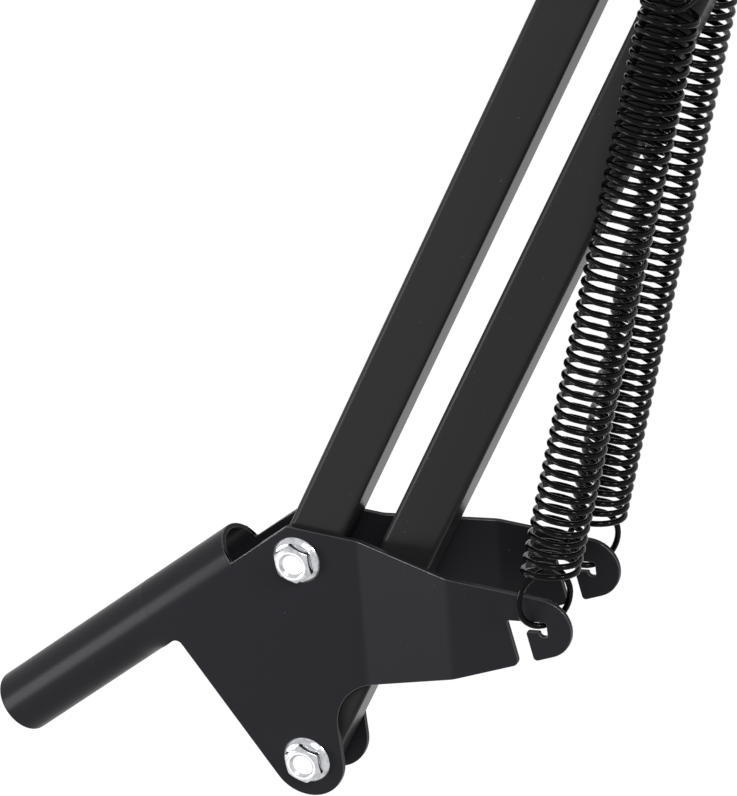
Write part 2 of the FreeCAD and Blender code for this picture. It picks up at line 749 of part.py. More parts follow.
def make_mic_stud():
    # threaded stud for a microphone clip, on a tail that is fixed in the block
    frame = FreeCAD.Placement(tilt_pivot, FreeCAD.Rotation(Vector(1, 0, 0), 180))
    start = size("tilt_drop") + size("collar_height")
    thread = primitive("Cylinder", "mic_stud_thread", frame, start, Radius="Sizes.stud_radius",
                       Height="Sizes.stud_length - Sizes.stud_chamfer")
    point = primitive("Cone", "mic_stud_point", frame, start + size("stud_length") - size("stud_chamfer"),
                      Radius1="Sizes.stud_radius", Radius2="Sizes.stud_radius - Sizes.stud_chamfer",
                      Height="Sizes.stud_chamfer")
    tail = primitive("Cylinder", "mic_stud_tail", frame, start - size("stud_tail_length"),
                     Radius="Sizes.stud_tail_radius", Height="Sizes.stud_tail_length")
    stud = fuse("mic_stud", [thread, point, tail])
    stud.Label = "mic_stud"
    return keep(stud)


def make_tilt_knob():
    # lobed knob on the near side: a round skirt by the plate and a scalloped grip
    body = new_body("tilt_knob")
    skirt = new_sketch(body, "SkirtCircle", "XY_Plane")
    add_circle(skirt, 0, 0, "Sizes.knob_skirt_radius")
    pad(body, "Skirt", skirt, "Sizes.knob_skirt_height")
    grip = new_sketch(body, "GripCircle", "XY_Plane", lift="Sizes.knob_skirt_height")
    add_circle(grip, 0, 0, "Sizes.knob_radius")
    pad(body, "Grip", grip, "Sizes.knob_height - Sizes.knob_skirt_height")
    scallop = new_sketch(body, "ScallopCircle", "XY_Plane", lift="Sizes.knob_skirt_height")
    add_circle(scallop, size("knob_radius") + size("knob_scallop") / 2, 0, "Sizes.knob_scallop")
    hollow = body.newObject("PartDesign::Pocket", "Scallop")
    hollow.Profile = scallop
    hollow.Reversed = True
    hollow.setExpression("Length", "Sizes.knob_height - Sizes.knob_skirt_height")
    doc.recompute()
    pattern = body.newObject("PartDesign::PolarPattern", "Scallops")
    pattern.Originals = [hollow]
    axis = [feature for feature in body.Origin.OriginFeatures if feature.Role == "Z_Axis"][0]
    pattern.Axis = (axis, [""])
    pattern.Angle = 360
    pattern.Occurrences = int(size("knob_lobes"))
    body.Tip = pattern
    seat = new_sketch(body, "InsertCircle", "XY_Plane")
    add_circle(seat, 0, 0, "Sizes.insert_radius + Sizes.thread_gap")
    bore = body.newObject("PartDesign::Pocket", "InsertSeat")
    bore.Profile = seat
    bore.Reversed = True
    bore.setExpression("Length", "Sizes.insert_length")
    body.Placement = FreeCAD.Placement(tilt_pivot - Vector(0, plate_face + size("knob_gap"), 0),
                                       FreeCAD.Rotation(Vector(1, 0, 0), 90))
    return keep(body)


def make_knob_insert():
    near = -plate_face - size("knob_gap")
    insert = make_tube("knob_insert", tilt_pivot, near - size("insert_length"), near,
                       "Sizes.insert_radius", "Sizes.tilt_screw_radius + Sizes.running_gap")
    insert.Label = "knob_insert"
    return keep(insert)


# Base
make_base_bracket()
make_pivot_set("base_pivot", [front_pivot, rear_pivot], outer_face)

# Lower arm
make_bar("lower_front_bar", front_pivot, lower_lean, "lower_length", 1)
make_bar("lower_rear_bar", rear_pivot, lower_lean, "lower_length", -1,
         post=(-size("pivot_inset") - size("lower_post_offset"), size("lower_post_distance")))
make_post("lower_spring_post", lower_post, bar_half, size("post_spread"))
make_lower_springs()

# Elbow
elbow_points = [elbow_rear, elbow_post, upper_high, upper_low, elbow_front]
bolt_hole = "Sizes.bolt_radius + Sizes.bolt_gap"
for name, side in (("elbow_plate_near", -1), ("elbow_plate_far", 1)):
    make_plate(name, rounded_hull(elbow_points, size("elbow_rim")),
               [(point, bolt_hole) for point in elbow_points], side)
make_pivot_set("elbow_pivot", [elbow_front, elbow_rear, upper_low, upper_high], plate_face)
make_post("elbow_spring_post", elbow_post, plate_face, size("elbow_post_spread"))

# Upper arm
make_bar("upper_low_bar", upper_low, upper_lean, "upper_length", 1)
make_bar("upper_high_bar", upper_high, upper_lean, "upper_length", -1,
         post=(-size("pivot_inset"), size("upper_post_distance")))
make_post("upper_spring_post", upper_post, bar_half, size("post_spread"))
make_upper_springs()

# Head
head_points = [tilt_pivot, head_low, head_high]
for name, side in (("head_plate_near", -1), ("head_plate_far", 1)):
    make_plate(name, rounded_hull(head_points, size("elbow_rim")),
               [(tilt_pivot, "Sizes.tilt_screw_radius + Sizes.bolt_gap"),
                (head_low, bolt_hole), (head_high, bolt_hole)], side)
make_pivot_set("head_pivot", [head_low, head_high], plate_face)
make_tilt_screw()
make_tilt_block()
make_mic_stud()
make_tilt_knob()
make_knob_insert()

doc.recompute()
for item in doc.Objects:
    if "Invalid" in item.State or "Error" in item.State:
        raise RuntimeError("%s failed: %s" % (item.Label, item.State))
for item in nodes:
    if item.Shape.isNull() or not item.Shape.isValid():
        raise RuntimeError("%s has no valid shape" % item.Label)
for item in nodes:
    item.Shape.exportStep("parts/%s.step" % item.Label)
print("pieces:", len(nodes), "front pivot", front_pivot, "rear pivot", rear_pivot)
for name, point in (("elbow_front", elbow_front), ("elbow_rear", elbow_rear), ("upper_low", upper_low),
                    ("upper_high", upper_high), ("head_high", head_high), ("tilt_pivot", tilt_pivot)):
    print(name, "%.3f %.3f" % (point.x, point.z))
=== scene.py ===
import json
import math
import bmesh
import bpy
from mathutils import Matrix, Vector


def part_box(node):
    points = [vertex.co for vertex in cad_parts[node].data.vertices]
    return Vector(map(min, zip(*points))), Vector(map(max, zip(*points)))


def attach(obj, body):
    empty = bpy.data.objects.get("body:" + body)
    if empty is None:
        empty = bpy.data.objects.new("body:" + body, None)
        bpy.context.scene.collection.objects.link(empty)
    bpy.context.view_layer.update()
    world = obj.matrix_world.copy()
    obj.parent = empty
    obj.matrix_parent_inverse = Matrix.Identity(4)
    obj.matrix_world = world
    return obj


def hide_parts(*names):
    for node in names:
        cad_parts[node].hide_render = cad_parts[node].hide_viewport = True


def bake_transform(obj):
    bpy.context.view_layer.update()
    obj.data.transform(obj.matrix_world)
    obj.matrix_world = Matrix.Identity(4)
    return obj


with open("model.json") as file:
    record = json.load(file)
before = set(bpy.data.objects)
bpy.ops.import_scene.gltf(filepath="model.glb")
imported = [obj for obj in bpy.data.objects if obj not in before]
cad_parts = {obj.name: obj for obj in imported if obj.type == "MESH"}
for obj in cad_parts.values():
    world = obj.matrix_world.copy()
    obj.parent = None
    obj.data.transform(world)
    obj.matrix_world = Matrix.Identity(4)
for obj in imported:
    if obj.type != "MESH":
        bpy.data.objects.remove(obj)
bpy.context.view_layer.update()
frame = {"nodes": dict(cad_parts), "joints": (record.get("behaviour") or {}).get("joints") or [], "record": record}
cadNodes = frame["nodes"]
bodyOf = {node: body for body, nodes in frame["record"]["behaviour"]["bodies"].items() for node in nodes}
pivotOf = {joint["child"]: Vector(joint["pos_m"]) for joint in frame["joints"]}
armWay = {
    "lower": pivotOf["elbow"] - pivotOf["lower_front"],
    "upper": pivotOf["head"] - pivotOf["upper_high"],
}
armLean = {arm: math.atan2(-way.x, way.z) for arm, way in armWay.items()}
mm = 0.001
same = 1e-6  # metres: places closer than this are one place
scene = bpy.context.scene
scene.view_settings.view_transform = "Standard"


# Finishes

def newFinish(name, colour, roughness, metallic=0.0, specular=0.5):
    material = bpy.data.materials.new(name)
    material.use_nodes = True
    shader = material.node_tree.nodes["Principled BSDF"]
    shader.inputs["Base Color"].default_value = (*colour, 1.0)
    shader.inputs["Roughness"].default_value = roughness
    shader.inputs["Metallic"].default_value = metallic
    shader.inputs["Specular IOR Level"].default_value = specular
    return material, shader


def objectPattern(material, turn=0.0, stretch=(1.0, 1.0, 1.0)):
    nodes = material.node_tree.nodes
    place = nodes.new("ShaderNodeTexCoord")
    mapping = nodes.new("ShaderNodeMapping")
    mapping.inputs["Rotation"].default_value = (0.0, turn, 0.0)
    mapping.inputs["Scale"].default_value = stretch
    material.node_tree.links.new(place.outputs["Object"], mapping.inputs["Vector"])
    return mapping.outputs["Vector"]


def newNoise(material, vector, scale, detail=2.0):
    noise = material.node_tree.nodes.new("ShaderNodeTexNoise")
    noise.inputs["Scale"].default_value = scale
    noise.inputs["Detail"].default_value = detail
    material.node_tree.links.new(vector, noise.inputs["Vector"])
    return noise.outputs["Fac"]


def newRamp(material, value, stops):
    # a new ramp has two stops
    ramp = material.node_tree.nodes.new("ShaderNodeValToRGB")
    for element, (position, colour) in zip(ramp.color_ramp.elements, stops):
        element.position = position
        element.color = (*colour, 1.0)
    material.node_tree.links.new(value, ramp.inputs["Fac"])
    return ramp.outputs["Color"]


def newAttribute(material, name):
    attribute = material.node_tree.nodes.new("ShaderNodeAttribute")
    attribute.attribute_name = name
    return attribute.outputs["Fac"]


def addBump(material, shader, height, strength, distance):
    bump = material.node_tree.nodes.new("ShaderNodeBump")
    bump.inputs["Strength"].default_value = strength
    bump.inputs["Distance"].default_value = distance
    material.node_tree.links.new(height, bump.inputs["Height"])
    material.node_tree.links.new(bump.outputs["Normal"], shader.inputs["Normal"])


coatLook = {
    "sheetColour": (0.0232, 0.0227, 0.0272),
    "tubeColour": (0.0320, 0.0317, 0.0333),
    "tubeStretch": (1.0, 1.0, 0.12),  # grain drawn out along the tubes
    "speck": (0.070, 0.070, 0.075),
    "roughness": 0.28,
    "specular": 0.06,
    "edgeRoughness": 0.24,
    "edgeSpecular": 0.7,
    "peelScale": 2600.0,
    "peelStrength": 0.10,
    "peelDepth": 0.00004,
    "speckScale": 1300.0,
    "speckFrom": 0.87,
    "speckTo": 0.89,
}
edgeShine = "edgeShine"  # face attribute: 1 on a broken edge, where the coat is thin and polished


def makeCoat(name, plainColour, turn=0.0, stretch=(1.0, 1.0, 1.0)):
    # satin powder coat: a fine orange peel and a few pale specks
    material, shader = newFinish(name, plainColour, coatLook["roughness"], specular=coatLook["specular"])
    links = material.node_tree.links
    peel = newNoise(material, objectPattern(material, turn, stretch), coatLook["peelScale"])
    addBump(material, shader, peel, coatLook["peelStrength"], coatLook["peelDepth"])
    fleck = newNoise(material, objectPattern(material), coatLook["speckScale"], detail=0.0)
    colour = newRamp(material, fleck, [(coatLook["speckFrom"], plainColour),
                                       (coatLook["speckTo"], coatLook["speck"])])
    links.new(colour, shader.inputs["Base Color"])
    edge = newAttribute(material, edgeShine)
    for socket, plain, worn in (("Roughness", "roughness", "edgeRoughness"),
                                ("Specular IOR Level", "specular", "edgeSpecular")):
        level = material.node_tree.nodes.new("ShaderNodeMapRange")
        level.inputs["To Min"].default_value = coatLook[plain]
        level.inputs["To Max"].default_value = coatLook[worn]
        links.new(edge, level.inputs["Value"])
        links.new(level.outputs["Result"], shader.inputs[socket])
    return material


wireLook = {
    "colour": (0.002, 0.002, 0.0022),
    "roughness": 0.08,
    "specular": 0.09,
    "wearScale": 700.0,
    "wearFrom": 0.35,
    "wearTo": 0.65,
    "wearLow": 0.06,  # roughness at the two ends of the wear
    "wearHigh": 0.11,
}


def makeWireGloss(name):
    # black wire whose gloss changes a little from place to place
    material, shader = newFinish(name, wireLook["colour"], wireLook["roughness"],
                                 specular=wireLook["specular"])
    wear = newNoise(material, objectPattern(material), wireLook["wearScale"])
    low = wireLook["wearLow"]
    high = wireLook["wearHigh"]
    gloss = newRamp(material, wear, [(wireLook["wearFrom"], (low, low, low)),
                                     (wireLook["wearTo"], (high, high, high))])
    material.node_tree.links.new(gloss, shader.inputs["Roughness"])
    return material


zincLook = {
    "colour": (0.60, 0.61, 0.63),
    "dull": (0.44, 0.45, 0.47),
    # paler colour painted on the flat ends of fasteners: a painted highlight, not a different zinc
    "paintedEndHighlightColour": (0.93, 0.93, 0.94),
    "roughness": 0.17,
    "cloudScale": 900.0,
    "rippleScale": 1500.0,
    "rippleStrength": 0.12,
    "rippleDepth": 0.00005,
}
sleeveLook = {
    "colour": (0.62, 0.63, 0.65),
    "dull": (0.50, 0.51, 0.53),
    "roughness": 0.3,
    "cloudScale": 700.0,
    "rippleScale": 2500.0,
    "rippleStrength": 0.1,
    "rippleDepth": 0.00003,
}
brassLook = {
    "colour": (0.72, 0.52, 0.23),
    "dull": (0.60, 0.42, 0.18),
    "roughness": 0.25,
    "cloudScale": 600.0,
    "rippleScale": 2500.0,
    "rippleStrength": 0.1,
    "rippleDepth": 0.00003,
}
cloudFrom = 0.38  # noise levels between which a metal goes from dull to bright
cloudTo = 0.56
paintedEndHighlight = "paintedEndHighlight"  # face attribute: 1 on the flat ends of a fastener, which get a paler colour as a painted highlight


def makeBrightMetal(name, look):
    # plain or plated metal: soft clouds in the colour and a slight ripple
    material, shader = newFinish(name, look["colour"], look["roughness"], metallic=1.0)
    links = material.node_tree.links
    vector = objectPattern(material)
    clouds = newNoise(material, vector, look["cloudScale"])
    colour = newRamp(material, clouds, [(cloudFrom, look["dull"]), (cloudTo, look["colour"])])
    # the flat ends are mixed towards the pale end colour: a painted highlight
    if "paintedEndHighlightColour" in look:
        mix = material.node_tree.nodes.new("ShaderNodeMixRGB")
        mix.inputs["Color2"].default_value = (*look["paintedEndHighlightColour"], 1.0)
        links.new(newAttribute(material, paintedEndHighlight), mix.inputs["Fac"])
        links.new(colour, mix.inputs["Color1"])
        colour = mix.outputs["Color"]
    links.new(colour, shader.inputs["Base Color"])
    ripple = newNoise(material, vector, look["rippleScale"])
    addBump(material, shader, ripple, look["rippleStrength"], look["rippleDepth"])
    return material


plasticLook = {
    "knobColour": (0.014, 0.014, 0.015),
    "bushColour": (0.020, 0.020, 0.021),
    "roughness": 0.45,
    "specular": 0.4,
    "grainScale": 3500.0,
    "grainStrength": 0.22,
    "grainDepth": 0.00006,
}


def makePlastic(name, colour):
    material, shader = newFinish(name, colour, plasticLook["roughness"], specular=plasticLook["specular"])
    grain = newNoise(material, objectPattern(material), plasticLook["grainScale"])
    addBump(material, shader, grain, plasticLook["grainStrength"], plasticLook["grainDepth"])
    return material


def makeTubeCoat(name, arm):
    return makeCoat(name, coatLook["tubeColour"], armLean[arm], coatLook["tubeStretch"])


finishes = {
    "sheetCoat": makeCoat("sheetCoat", coatLook["sheetColour"]),
    "lowerTubeCoat": makeTubeCoat("lowerTubeCoat", "lower"),
    "upperTubeCoat": makeTubeCoat("upperTubeCoat", "upper"),
    "springGloss": makeWireGloss("springGloss"),
    "brightZinc": makeBrightMetal("brightZinc", zincLook),
    "sleeveSteel": makeBrightMetal("sleeveSteel", sleeveLook),
    "insertBrass": makeBrightMetal("insertBrass", brassLook),
    "knobPlastic": makePlastic("knobPlastic", plasticLook["knobColour"]),
    "bushNylon": makePlastic("bushNylon", plasticLook["bushColour"]),
}
print("finishes made:", len(finishes))


# Shared steps

meshLook = {
    "smoothAngle": 38.0,  # degrees: past this an edge is shaded sharp
    "sharpAngle": 30.0,  # degrees: past this an edge is broken
    "flatAngle": 0.5,  # degrees: faces closer than this become one
    "weld": 1e-7,  # metres: corners of a CAD copy closer than this become one
    "endDepth": 0.7,  # mm from a fastener's end to where its flat end faces lie
    "endFlat": 0.97,  # least part of a flat end's normal along the bolt
}


def pieceName(node):
    first, *others = node.replace("spring_post", "post").split("_")
    return first + "".join(word.capitalize() for word in others)


def finishPiece(bm, node, finish):
    name = pieceName(node)
    mesh = bpy.data.meshes.new(name)
    bm.to_mesh(mesh)
    bm.free()
    mesh.materials.append(finishes[finish])
    mesh.shade_smooth()
    mesh.set_sharp_from_angle(angle=math.radians(meshLook["smoothAngle"]))
    piece = bpy.data.objects.new(name, mesh)
    scene.collection.objects.link(piece)
    normals = piece.modifiers.new("evenFaces", "WEIGHTED_NORMAL")
    normals.keep_sharp = True
    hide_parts(node)
    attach(piece, bodyOf[node])


def isSharp(edge):
    return edge.calc_face_angle(0.0) > math.radians(meshLook["sharpAngle"])


def bevelEdges(bm, edges, offset, segments):
    return bmesh.ops.bevel(bm, geom=edges, offset=offset * mm, offset_type="OFFSET", affect="EDGES",
                           segments=segments, profile=0.5, material=-1, clamp_overlap=False)


def softenEdges(bm, offset, segments):
    shine = bm.faces.layers.float.new(edgeShine)
    edges = [edge for edge in bm.edges if len(edge.link_faces) == 2 and isSharp(edge)]
    made = bevelEdges(bm, edges, offset, segments)
    for face in made["faces"]:
        face[shine] = 1.0


def cadCopy(node):
    bm = bmesh.new()
    bm.from_mesh(cadNodes[node].data)
    bmesh.ops.remove_doubles(bm, verts=bm.verts, dist=meshLook["weld"])
    return bm


def joinFlats(bm):
    angle = math.radians(meshLook["flatAngle"])
    bmesh.ops.dissolve_limit(bm, angle_limit=angle, verts=bm.verts, edges=bm.edges)


def markPaintedEndHighlights(bm):
    # bolts, nuts and screws lie along Y, so their flat ends are at its lowest and highest places; these faces are
    # marked for a painted highlight
    shine = bm.faces.layers.float.new(paintedEndHighlight)
    places = [vert.co.y for vert in bm.verts]
    ends = (min(places), max(places))
    for face in bm.faces:
        middle = face.calc_center_median().y
        depth = min(abs(middle - end) for end in ends)
        if depth < meshLook["endDepth"] * mm and abs(face.normal.y) > meshLook["endFlat"]:
            face[shine] = 1.0


# Base bracket

bracketLook = {
    "shoulder": 1.8,  # height where the cheeks end
    "flare": 0.1,
    "outside": 6.3,  # half widths over the cheeks and between them
    "inside": 5.3,
    "front": 5.5,
    "openFrom": -8.0,  # height where the tube starts to open
    "cuts": 12,
    "cutWithin": 1e-8,
    "edge": 0.14,
    "edgeSteps": 2,
}


def eased(share):
    share = min(max(share, 0.0), 1.0)
    return share * share * (3.0 - 2.0 * share)


def makeBracket():
    # the sheet below the shoulder is pressed from flat cheeks into a round tube, open in front at first
    bm = cadCopy("base_bracket")
    shoulder = bracketLook["shoulder"] * mm
    for vert in bm.verts:
        if vert.co.z < shoulder - same:
            out = math.hypot(vert.co.x, vert.co.y)
            grown = (out + bracketLook["flare"] * mm) / out
            vert.co.x *= grown
            vert.co.y *= grown
    steps = [face for face in bm.faces if all(abs(vert.co.z - shoulder) < same for vert in face.verts)]
    bmesh.ops.delete(bm, geom=steps, context="FACES_ONLY")
    tube = [face for face in bm.faces if all(vert.co.z < shoulder + same for vert in face.verts)]
    bmesh.ops.split(bm, geom=tube)
    joinFlats(bm)
    back = [vert for vert in bm.verts if abs(vert.co.z - shoulder) < same and vert.co.x < same]
    bmesh.ops.remove_doubles(bm, verts=back, dist=same)

    openFrom = bracketLook["openFrom"] * mm
    for cut in range(bracketLook["cuts"]):
        height = openFrom + (shoulder - openFrom) * cut / bracketLook["cuts"]
        everything = bm.verts[:] + bm.edges[:] + bm.faces[:]
        bmesh.ops.bisect_plane(bm, geom=everything, dist=bracketLook["cutWithin"],
                               plane_co=(0, 0, height), plane_no=(0, 0, 1))
    wallMiddle = (bracketLook["outside"] + bracketLook["inside"]) / 2 * mm
    lowFaces = [face for face in bm.faces if all(vert.co.z < shoulder + same for vert in face.verts)]
    for vert in {vert for face in lowFaces for vert in face.verts}:
        if vert.co.x > 0:
            out = math.hypot(vert.co.x, vert.co.y)
            wall = "outside" if out > wallMiddle else "inside"
            share = eased((vert.co.z - openFrom) / (shoulder - openFrom))
            flatX = vert.co.x / out * bracketLook["front"] * mm
            flatY = math.copysign(bracketLook[wall] * mm, vert.co.y)
            vert.co.x += (flatX - vert.co.x) * share
            vert.co.y += (flatY - vert.co.y) * share

    softenEdges(bm, bracketLook["edge"], bracketLook["edgeSteps"])
    rims = [edge for edge in bm.edges if len(edge.link_faces) == 1]
    caps = bmesh.ops.holes_fill(bm, edges=rims, sides=0)
    bmesh.ops.recalc_face_normals(bm, faces=bm.faces)
    print("bracket: open edges", len(rims), "closed by", len(caps["faces"]), "faces")
    finishPiece(bm, "base_bracket", "sheetCoat")


makeBracket()


# Plates, fasteners and small turned pieces: copies of the CAD whose sharp edges are broken

posts = ("lower_spring_post", "elbow_spring_post", "upper_spring_post")
pivots = ("base_pivot", "elbow_pivot", "head_pivot")
plateCopies = {
    "nodes": ["elbow_plate_near", "elbow_plate_far", "head_plate_near", "head_plate_far"],
    "slot": "black_coat", "finish": "sheetCoat", "edge": 0.25, "steps": 2,
}
blockCopies = {
    "nodes": ["tilt_block"],
    "slot": "black_coat", "finish": "sheetCoat", "edge": 0.5, "steps": 2,
}
zincCopies = {
    "nodes": ["base_pivot_bolts", "base_pivot_nuts", "lower_spring_post_bolt", "lower_spring_post_nut",
              "elbow_pivot_bolts", "elbow_pivot_nuts", "elbow_spring_post_bolt", "elbow_spring_post_nut",
              "upper_spring_post_bolt", "upper_spring_post_nut", "head_pivot_bolts", "head_pivot_nuts",
              "tilt_screw"],
    "slot": "bright_zinc", "finish": "brightZinc", "edge": 0.14, "steps": 2,
}
sleeveCopies = {
    "nodes": ["%s_sleeve_%s" % (post, side) for post in posts for side in ("near", "far")],
    "slot": "sleeve_steel", "finish": "sleeveSteel", "edge": 0.12, "steps": 2,
}
bushCopies = {
    "nodes": [pivot + "_bushes" for pivot in pivots],
    "slot": "bush_nylon", "finish": "bushNylon", "edge": 0.12, "steps": 2,
}
insertCopies = {
    "nodes": ["knob_insert"],
    "slot": "insert_brass", "finish": "insertBrass", "edge": 0.15, "steps": 2,
}
knobCopies = {
    "nodes": ["tilt_knob"],
    "slot": "knob_plastic", "finish": "knobPlastic", "edge": 0.9, "steps": 4,
}


def makeCopies(copies):
    for node in copies["nodes"]:
        bm = cadCopy(node)
        joinFlats(bm)
        softenEdges(bm, copies["edge"], copies["steps"])
        # the flat ends of zinc fasteners are marked for a painted highlight
        if copies["finish"] == "brightZinc":
            markPaintedEndHighlights(bm)
        finishPiece(bm, node, copies["finish"])
    print(copies["finish"], "pieces made:", len(copies["nodes"]))


for copies in (plateCopies, blockCopies, zincCopies, sleeveCopies, bushCopies, insertCopies, knobCopies):
    makeCopies(copies)


# Square tube bars

barLook = {
    "width": 10.2,
    "depth": 10.2,
    "corner": 1.2,
    "cornerSteps": 5,
    "wall": 1.0,
    "end": 7.0,  # how far a tube runs past its pivots
    "inset": 0.6,  # how far it sits off their line, towards the other bar
    "edge": 0.15,
    "edgeSteps": 2,
    "endFacing": 0.9,  # least part of an end face's normal along the tube
}
bars = [
    {"node": "lower_front_bar", "arm": "lower", "inward": 1},
    {"node": "lower_rear_bar", "arm": "lower", "inward": -1},
    {"node": "upper_low_bar", "arm": "upper", "inward": 1},
    {"node": "upper_high_bar", "arm": "upper", "inward": -1},
]


def makeBar(bar):
    # tube along its own Z from the first pivot, then turned to its lean
    length = armWay[bar["arm"]].length
    half = length / 2 + barLook["end"] * mm
    bm = bmesh.new()
    bmesh.ops.create_cube(bm, size=1.0)
    bmesh.ops.scale(bm, vec=(barLook["width"] * mm, barLook["depth"] * mm, 2 * half), verts=bm.verts)
    long = [edge for edge in bm.edges if abs(edge.verts[0].co.z - edge.verts[1].co.z) > half]
    bevelEdges(bm, long, barLook["corner"], barLook["cornerSteps"])
    ends = [face for face in bm.faces if abs(face.normal.z) > barLook["endFacing"]]
    bmesh.ops.delete(bm, geom=ends, context="FACES")
    bmesh.ops.recalc_face_normals(bm, faces=bm.faces)
    bmesh.ops.solidify(bm, geom=bm.faces, thickness=barLook["wall"] * mm)
    rims = [edge for edge in bm.edges
            if all(abs(abs(vert.co.z) - half) < same for vert in edge.verts) and isSharp(edge)]
    bevelEdges(bm, rims, barLook["edge"], barLook["edgeSteps"])
    middle = Vector((bar["inward"] * barLook["inset"] * mm, 0.0, length / 2))
    bmesh.ops.translate(bm, vec=middle, verts=bm.verts)
    turn = Matrix.Rotation(-armLean[bar["arm"]], 3, "Y")
    bmesh.ops.rotate(bm, cent=(0, 0, 0), matrix=turn, verts=bm.verts)
    bmesh.ops.translate(bm, vec=pivotOf[bodyOf[bar["node"]]], verts=bm.verts)
    finishPiece(bm, bar["node"], bar["arm"] + "TubeCoat")


for bar in bars:
    makeBar(bar)
print("bars made:", len(bars))


# Springs: one wire each, with a ring at both ends

springLook = {
    "radius": 4.9,
    "wire": 0.58,
    "ringWide": 4.85,
    "ringSpans": 4,  # curve spans in a ring
    "opening": 105.0,  # degrees where the foot's ring starts and ends
    "closing": 395.0,
    "headOver": 3.4,  # how far the ring that hangs on a post reaches past its middle
    "endTurns": 4.0,  # turns over which the lean at the foot fades
    "wireSides": 4,
    "steps": 7,
}
lowerSpring = {
    "arm": "lower",
    "bodies": ("base", "lower_rear"),
    "foot": (39.247, 12.45, 75.218),  # the ring's end, on the hook
    "headOut": 10.7,  # from the arm's middle plane to the ring on the post
    "footRing": 6.0,  # half lengths of the rings
    "headRing": 6.3,
    "headCoil": 13.0,  # from the head's end to the coil
    "footTurn": 38.0,
    "headSweep": (-35.0, 300.0),
    "lean": 0.17,  # slant of the turns, as a share of their radius
    "endLean": 0.2,
    "bend": 0.7,  # the share of its length that would bend as the arm moves
    "near": {"footCoil": 11.4, "turns": 49},
    "far": {"footCoil": 10.3, "turns": 51},
}
upperSpring = {
    "arm": "upper",
    "bodies": ("elbow", "upper_high"),
    "foot": (-132.887, 13.0, 412.904),
    "headOut": 10.7,
    "footRing": 4.9,
    "headRing": 4.9,
    "headCoil": 12.5,
    "footTurn": 0.0,
    "headSweep": (-35.0, 255.0),
    "lean": 0.2,
    "endLean": 0.0,
    "bend": 0.5,
    "near": {"footCoil": 12.5, "turns": 57},
    "far": {"footCoil": 12.5, "turns": 57},
}
sides = {"near": -1, "far": 1}


def springEnds(spring, side):
    x, y, z = spring["foot"]
    low = Vector((x, sides[side] * y, z))
    sleeveLow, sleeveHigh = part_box("%s_spring_post_sleeve_%s" % (spring["arm"], side))
    post = (sleeveLow + sleeveHigh) / (2 * mm)
    post.y = sides[side] * spring["headOut"]
    return low, post + (post - low).normalized() * springLook["headOver"]


def springStations(spring, side, low, high):
    # points of the wire and its pull there, which sets the handles of the curve
    radius = springLook["radius"]
    footCoil = spring[side]["footCoil"]
    length = (high - low).length
    axis = (high - low).normalized()
    across = (Vector((0, 1, 0)) - axis * axis.y).normalized()
    square = across.cross(axis)
    footTurn = math.radians(spring["footTurn"])
    first = footTurn + math.pi / 2
    last = 2 * math.pi * spring[side]["turns"] - math.pi / 2
    rate = (length - footCoil - spring["headCoil"]) / (last - first)
    quarters = round((last - first) / (math.pi / 2))
    coilStep = (last - first) / quarters

    def around(angle):
        return square * math.cos(angle) + across * math.sin(angle)

    def reach(step):
        return 4 / 3 * math.tan(step / 4)  # handle of a curve span that follows an arc

    def ringPoints(middle, long, turn, start, end):
        out = around(turn) * springLook["ringWide"]
        rise = axis * long
        step = math.radians(end - start) / springLook["ringSpans"]
        points = []
        for span in range(springLook["ringSpans"] + 1):
            angle = math.radians(start) + step * span
            pull = rise * math.cos(angle) - out * math.sin(angle)
            points.append((middle + out * math.cos(angle) + rise * math.sin(angle), pull * reach(step)))
        return points

    stations = ringPoints(low + axis * spring["footRing"], spring["footRing"], footTurn,
                          springLook["opening"], springLook["closing"])
    for quarter in range(quarters + 1):
        angle = first + coilStep * quarter
        nearFoot = max(0.0, 1.0 - (angle - first) / (2 * math.pi * springLook["endTurns"]))
        leanSquare = spring["endLean"] * nearFoot * radius
        leanAcross = spring["lean"] * radius
        tilt = leanSquare * math.cos(angle) - leanAcross * math.sin(angle)
        height = footCoil + rate * (angle - first) + tilt
        point = low + around(angle) * radius + axis * height
        climb = rate - leanSquare * math.sin(angle) - leanAcross * math.cos(angle)
        pull = around(angle + math.pi / 2) * radius + axis * climb
        stations.append((point, pull * reach(coilStep)))
    stations += ringPoints(high - axis * spring["headRing"], spring["headRing"], 0.0, *spring["headSweep"])
    return stations


def makeWire(name, stations):
    # the wire is drawn as a round curve and kept as a mesh
    curve = bpy.data.curves.new(name + "Wire", "CURVE")
    curve.dimensions = "3D"
    curve.resolution_u = springLook["steps"]
    curve.bevel_depth = springLook["wire"] * mm
    curve.bevel_resolution = springLook["wireSides"]
    curve.use_fill_caps = True
    spline = curve.splines.new("BEZIER")
    spline.bezier_points.add(len(stations) - 1)
    for knot, (point, pull) in zip(spline.bezier_points, stations):
        knot.handle_left_type = "FREE"
        knot.handle_right_type = "FREE"
        knot.co = point * mm
        knot.handle_left = (point - pull) * mm
        knot.handle_right = (point + pull) * mm
    wire = bpy.data.objects.new(name + "Wire", curve)
    scene.collection.objects.link(wire)
    bpy.context.view_layer.update()
    mesh = bpy.data.meshes.new_from_object(wire.evaluated_get(bpy.context.evaluated_depsgraph_get()))
    bpy.data.objects.remove(wire)
    bpy.data.curves.remove(curve)
    mesh.name = name
    return mesh


def makeSpring(spring, side):
    node = "%s_spring_%s" % (spring["arm"], side)
    name = pieceName(node)
    low, high = springEnds(spring, side)
    mesh = makeWire(name, springStations(spring, side, low, high))
    mesh.materials.clear()
    mesh.materials.append(finishes["springGloss"])
    mesh.shade_smooth()
    piece = bpy.data.objects.new(name, mesh)
    scene.collection.objects.link(piece)
    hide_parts(node)
    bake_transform(piece)
    print(name, "faces", len(mesh.polygons))


for spring in (lowerSpring, upperSpring):
    for side in sides:
        makeSpring(spring, side)


# Threaded stud for the microphone

